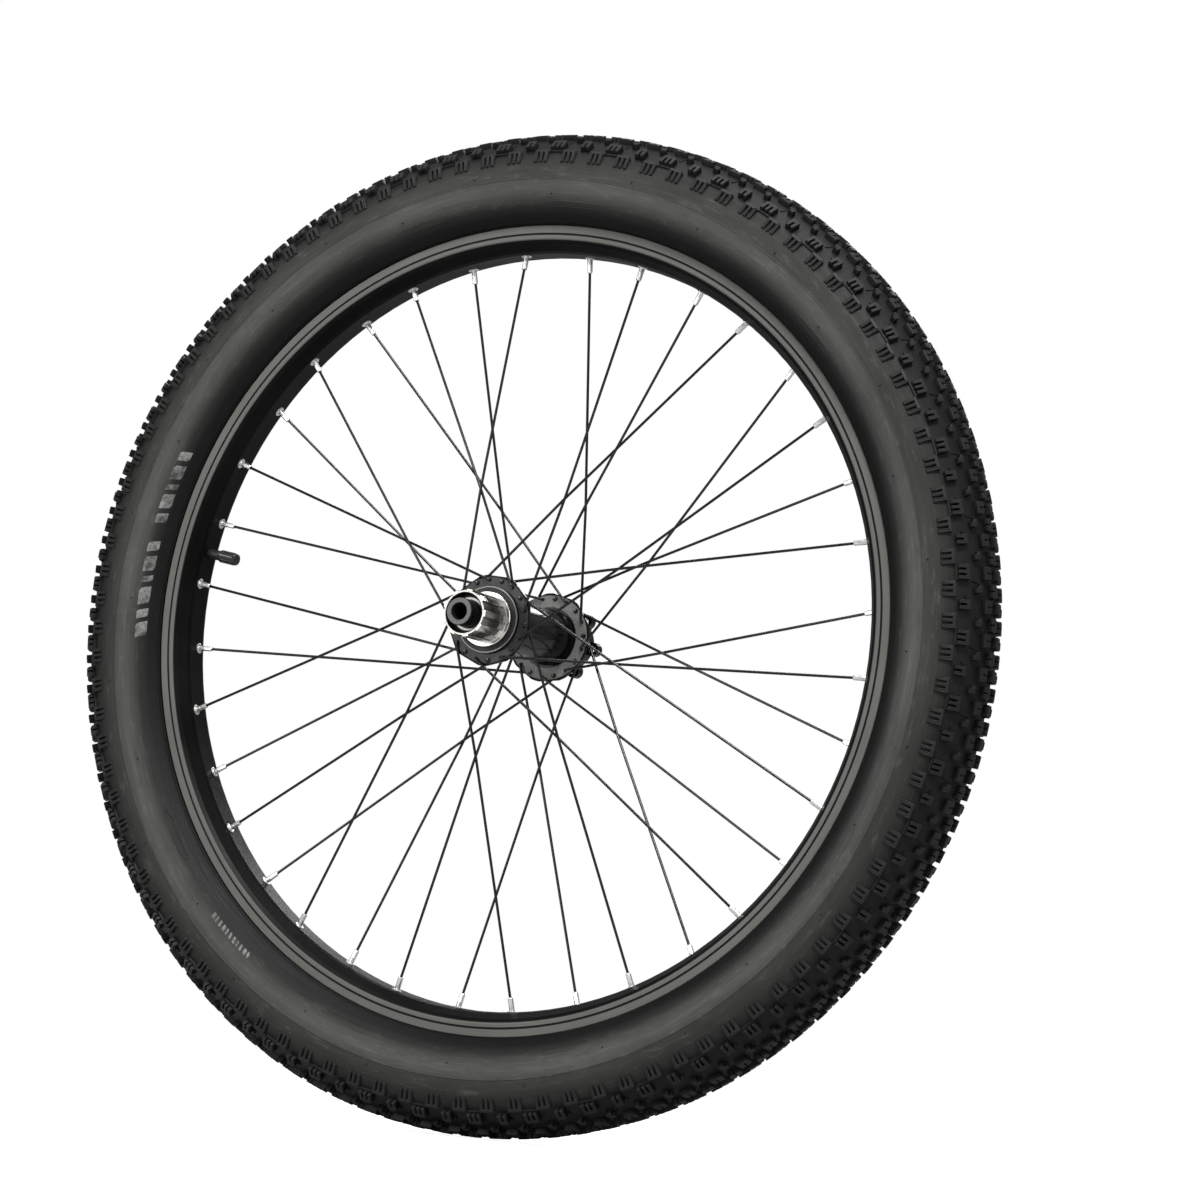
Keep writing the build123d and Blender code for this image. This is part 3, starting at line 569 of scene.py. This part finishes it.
for k in range(PITCHES):
    for side in (-1, 1):
        ph = A_START + k * PITCH + (0.5 * PITCH if side > 0 else 0.0)
        wide = (k + (0 if side < 0 else 1)) % 2 == 0
        # A: shoulder comb, teeth running down the wall
        add_block(comb(0.0, 9.4, 10.9, (-1.95, 1.95), 1.55, 7.1), 69.2, ph, side,
                  lambda th: 1.15 + 2.3 * min(1.0, max(0.0, (69.5 - th) / 9.0)), bevel=0.30)
        # B: half a pitch on, wide and narrow by turns
        pb = ph + 0.5 * PITCH
        if wide:
            add_block(comb(0.0, 8.0, 10.6, (-1.9, 1.9), 1.3, 5.2), 52.6, pb, side, lambda th: env(th) - 0.5)
            add_block(slab(-1.6, 0.35, 11.6, 11.6, 0.0, 0.3), 52.6, pb, side, lambda th: 1.7, bevel=0.25)
        else:
            add_block(comb(0.0, 7.8, 6.9, (0.0,), 1.3, 4.6), 52.0, pb, side, lambda th: env(th) - 0.4)
            add_block(slab(4.9, 7.4, 2.6, 2.2, 0.0, 0.4), 52.0, pb + 5.1 / 350.0 * (1 if k % 4 else -1), side, lambda th: 1.5, bevel=0.2)
        # C: small knob in line with A
        add_block(ccw([(0.0, -2.9), (3.2, -2.9), (5.0, -1.2), (5.0, 2.9), (2.6, 2.9), (2.0, 0.9), (0.0, 0.9)]), 33.8, ph, side, lambda th: env(th) - 0.15)
        # D: pair of lobes nearer the crown, in line with B
        skew = 1.3 * side
        add_block(ccw([(0.0, -4.9), (5.6, -4.3), (6.8, -3.0), (6.8, -0.55), (2.2, -0.55), (2.2, 0.55), (6.8, 0.55), (6.8, 3.4), (5.4, 4.7), (0.0, 4.4)]),
                  22.6, pb, side, lambda th: env(th))
        # E: crown block in line with A, with a sipe across it
        add_block(ccw([(0.0, -4.4), (4.6, -5.0 + 0.3 * skew), (6.6, -3.2), (6.6, 3.2), (4.6, 4.6), (0.0, 4.2), (0.0, 0.4), (3.4, 0.4), (3.4, -0.4), (0.0, -0.4)]),
                  11.2, ph, side, lambda th: env(th) + 0.02)
        # long low ribs that tie the rows together
        if k % 2 == 0:
            add_block(slab(0.0, 9.0, 1.1, 0.9, 2.2 * side, 0.2), 37.0, ph + 6.0 / 360.0, side, lambda th: 0.75, bevel=0.2, draft=0.05)
            add_block(slab(0.0, 8.0, 1.0, 0.9, -2.0 * side, 0.2), 24.5, pb - 8.2 / 365.0, side, lambda th: 0.7, bevel=0.2, draft=0.05)
tread = mesh_object("tyre_knobs", TV, TF, MAT_TREAD, False, True)

# ---- vent nubs: little rubber hairs left by the mould
NV, NF = [], []


def nub(th, a, side, length, rad):
    base = len(NV)
    n = 8
    r0, y0 = section_pt(th, CR - 0.2)
    for k_, (ln, rr) in enumerate(((0.0, rad * 1.5), (0.35, rad), (length, rad * 0.85), (length + 0.12, rad * 0.4))):
        for i in range(n):
            w = 2 * math.pi * i / n
            dth = math.degrees(rr * math.cos(w) / CR)
            r_, y_ = section_pt(th + dth, CR - 0.2 + ln)
            ph = a + rr * math.sin(w) / r_
            NV.append((r_ * MM * math.cos(ph), side * y_ * MM, r_ * MM * math.sin(ph)))
    for k_ in range(3):
        for i in range(n):
            j = (i + 1) % n
            NF.append((base + k_ * n + i, base + k_ * n + j, base + (k_ + 1) * n + j, base + (k_ + 1) * n + i))
    NF.append(tuple(base + 3 * n + i for i in range(n)))


for side in (-1, 1):
    for k in range(16):
        nub(83.2, math.radians(12.3 + SET_A + 22.5 * k), side, random.uniform(0.9, 1.7), 0.55)
        nub(106.3, math.radians(1.1 + SET_A + 22.5 * k), side, random.uniform(0.8, 1.5), 0.55)
nubs = mesh_object("tyre_vent_nubs", NV, NF, MAT_TREAD, True, True)

# ---- moulded and printed marks on the wall, all plain shapes
MV, MF = [], []      # printed, light grey
RV, RF = [], []      # raised, in the tyre's own rubber


def patch(dst_v, dst_f, corners, side, h, div=(3, 6)):
    """Four-cornered patch laid on the wall; corners are (L, a): mm up the wall from the rim, degrees round."""
    (l0, a0), (l1, a1), (l2, a2), (l3, a3) = corners
    base = len(dst_v)
    nu, nv = div
    grid = []
    for i in range(nu + 1):
        for j in range(nv + 1):
            s, t_ = i / nu, j / nv
            L = (l0 * (1 - s) + l3 * s) * (1 - t_) + (l1 * (1 - s) + l2 * s) * t_
            a = (a0 * (1 - s) + a3 * s) * (1 - t_) + (a1 * (1 - s) + a2 * s) * t_
            th = 144.8 - L / 0.6493
            edge = i in (0, nu) or j in (0, nv)
            r_, y_ = section_pt(th, CR + (-0.05 if edge else h))
            ph = math.radians(a + SET_A)
            grid.append((r_ * MM * math.cos(ph), side * y_ * MM, r_ * MM * math.sin(ph)))
    dst_v.extend(grid)
    for i in range(nu):
        for j in range(nv):
            q = (base + i * (nv + 1) + j, base + i * (nv + 1) + j + 1, base + (i + 1) * (nv + 1) + j + 1, base + (i + 1) * (nv + 1) + j)
            dst_f.append(q)


def bar(dst_v, dst_f, a, w, l0, l1, lean, side, h, div=(6, 5)):
    patch(dst_v, dst_f, [(l0, a), (l0, a + w), (l1, a + w + lean), (l1, a + lean)], side, h, div)


# two rows of worn slanted blocks, where a tyre usually carries its printing
for side in (-1, 1):
    x = 136.6
    for w, gap in ((1.5, 0.6), (2.3, 0.6), (0.9, 0.5), (2.3, 0.6), (1.5, 2.6), (1.5, 0.6), (2.3, 0.6), (0.9, 0.6), (2.6, 0.6), (1.3, 0.5), (2.2, 0)):
        bar(MV, MF, x, w, 10.6, 20.2, 0.55, side, 0.16)
        x += w + gap
    # ribbed strip
    for i in range(11):
        bar(MV, MF, 206.0 + 0.78 * i, 0.46 if i % 3 else 0.62, 17.6, 22.4, 0.25, side, 0.22, (4, 3))
    # rolling-direction arrow, outline only, tip towards falling angle
    for c in ([(13.4, 190.9), (13.4, 197.0), (14.0, 197.0), (14.0, 190.9)], [(17.6, 190.9), (17.6, 197.0), (18.2, 197.0), (18.2, 190.9)],
              [(13.4, 196.9), (13.4, 197.12), (18.2, 197.12), (18.2, 196.9)],
              [(12.2, 190.9), (12.2, 191.12), (14.0, 191.12), (14.0, 190.9)], [(17.6, 190.9), (17.6, 191.12), (19.4, 191.12), (19.4, 190.9)],
              [(12.2, 190.9), (12.2, 191.15), (15.8, 189.1), (15.8, 188.85)], [(19.4, 190.9), (19.4, 191.15), (15.8, 189.1), (15.8, 188.85)]):
        patch(RV, RF, c, side, 0.42, (4, 6))
    # short raised rules further round
    for a, ln, L in ((-50.0, 5.5, 27.0), (60.0, 9.0, 15.0), (84.0, 9.0, 15.0), (228.0, 8.0, 15.0), (262.0, 7.0, 15.0), (300.0, 9.0, 15.0), (20.0, 7.0, 15.0)):
        patch(RV, RF, [(L, a), (L, a + ln), (L + 0.9, a + ln), (L + 0.9, a)], side, 0.32, (3, 24))
        if L < 20:
            patch(RV, RF, [(L + 4.2, a), (L + 4.2, a + ln), (L + 5.1, a + ln), (L + 5.1, a)], side, 0.32, (3, 24))
marks = mesh_object("tyre_printed_marks", MV, MF, MAT_MARK, True, True)
rules = mesh_object("tyre_raised_marks", RV, RF, MAT_TYRE, True, True)

for p in (casing, tread, nubs, marks, rules):
    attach(p, "wheel")
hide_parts("tyre")

# ================================================================ stage
lo_z = CAD_BOX[0][2] if isinstance(CAD_BOX, (list, tuple)) else -0.3698
floor_z = min(-0.3698, float(lo_z)) - 0.0006
fv, ff = [(0, 0, floor_z)], []
ring_r = (0.3, 0.8, 1.6, 3.0, 6.0, 14.0)
for R_ in ring_r:
    for i in range(96):
        w = 2 * math.pi * i / 96
        fv.append((R_ * math.cos(w), R_ * math.sin(w), floor_z))
for i in range(96):
    ff.append((0, 1 + i, 1 + (i + 1) % 96))
for q in range(len(ring_r) - 1):
    for i in range(96):
        j = (i + 1) % 96
        ff.append((1 + q * 96 + i, 1 + (q + 1) * 96 + i, 1 + (q + 1) * 96 + j, 1 + q * 96 + j))
tf = Tree("studio_floor")
fc = tf.mix(tf.rng(tf.noise(1.5, 3.0, 0.5), 0.3, 0.7, 0.0, 1.0), (0.42, 0.42, 0.42), (0.46, 0.46, 0.46))
tf.put(tf.b.inputs["Emission Strength"], tf.math("MULTIPLY", tf.n("ShaderNodeLightPath").outputs["Is Camera Ray"], 0.88))
tf.set(fc, tf.rng(tf.noise(30.0, 3.0, 0.5), 0.3, 0.7, 0.72, 0.8), specular_ior_level=0.05, emission_color=(1, 1, 1, 1))
floor = mesh_object("studio_floor", fv, ff, tf.mat, False)

world = bpy.data.worlds.new("studio")
bpy.context.scene.world = world
world.use_nodes = True
wt = world.node_tree
wt.nodes.clear()
wo = wt.nodes.new("ShaderNodeOutputWorld")
wmix = wt.nodes.new("ShaderNodeMixShader")
lp = wt.nodes.new("ShaderNodeLightPath")
white = wt.nodes.new("ShaderNodeBackground")
white.inputs[0].default_value = (1, 1, 1, 1)
white.inputs[1].default_value = 1.0
soft = wt.nodes.new("ShaderNodeBackground")
tc = wt.nodes.new("ShaderNodeTexCoord")
sep = wt.nodes.new("ShaderNodeSeparateXYZ")
wt.links.new(tc.outputs["Generated"], sep.inputs[0])
mr = wt.nodes.new("ShaderNodeMapRange")
mr.inputs[1].default_value = -0.4
mr.inputs[2].default_value = 1.0
mr.inputs[3].default_value = 0.13
mr.inputs[4].default_value = 0.42
wt.links.new(sep.outputs[2], mr.inputs[0])
soft.inputs[0].default_value = (1.0, 1.0, 1.0, 1)
wt.links.new(mr.outputs[0], soft.inputs[1])
wt.links.new(lp.outputs["Is Camera Ray"], wmix.inputs[0])
wt.links.new(soft.outputs[0], wmix.inputs[1])
wt.links.new(white.outputs[0], wmix.inputs[2])
wt.links.new(wmix.outputs[0], wo.inputs[0])


def area(name, loc, target, size, energy, color=(1, 1, 1)):
    d = bpy.data.lights.new(name, "AREA")
    d.shape = "RECTANGLE"
    d.size, d.size_y = size
    d.energy = energy
    d.color = color
    o = bpy.data.objects.new(name, d)
    bpy.context.scene.collection.objects.link(o)
    o.location = loc
    o.rotation_euler = (Vector(target) - Vector(loc)).to_track_quat("-Z", "Y").to_euler()
    return o


area("key", (1.05, -1.7, 2.4), (0, 0, 0), (1.0, 0.7), 78)
area("top", (0.2, -0.2, 2.6), (0, 0, 0), (2.0, 0.9), 34)
area("side", (2.6, -1.2, 0.9), (0.1, 0, 0), (0.5, 1.6), 9)
area("fill", (-1.7, -2.3, 1.1), (0, 0, 0), (0.8, 0.8), 16)
area("back", (-0.6, 2.6, 1.6), (0, 0, 0), (1.8, 0.4), 17)
area("card", (-1.16, -2.30, 0.29), (0, 0, 0), (0.75, 1.0), 7.0)

# =============================================================== camera
right = Vector((0.893612, 0.438836, 0.094233))
up = Vector((-0.034527, -0.142117, 0.989248))
fwd = Vector((-0.44751, 0.887257, 0.111845))
cam_d = bpy.data.cameras.new("camera")
cam_d.sensor_fit = "HORIZONTAL"
cam_d.sensor_width = 36.0
cam_d.lens = 118.9797
cam_d.clip_start = 0.05
cam_d.clip_end = 60.0
cam = bpy.data.objects.new("camera", cam_d)
bpy.context.scene.collection.objects.link(cam)
m = Matrix((right, up, -fwd)).transposed().to_4x4()
m.translation = Vector((1.349235, -2.553773, -0.297733))
cam.matrix_world = m
bpy.context.scene.camera = cam
bpy.context.scene.view_settings.view_transform = "Standard"
bpy.context.scene.view_settings.look = "None"
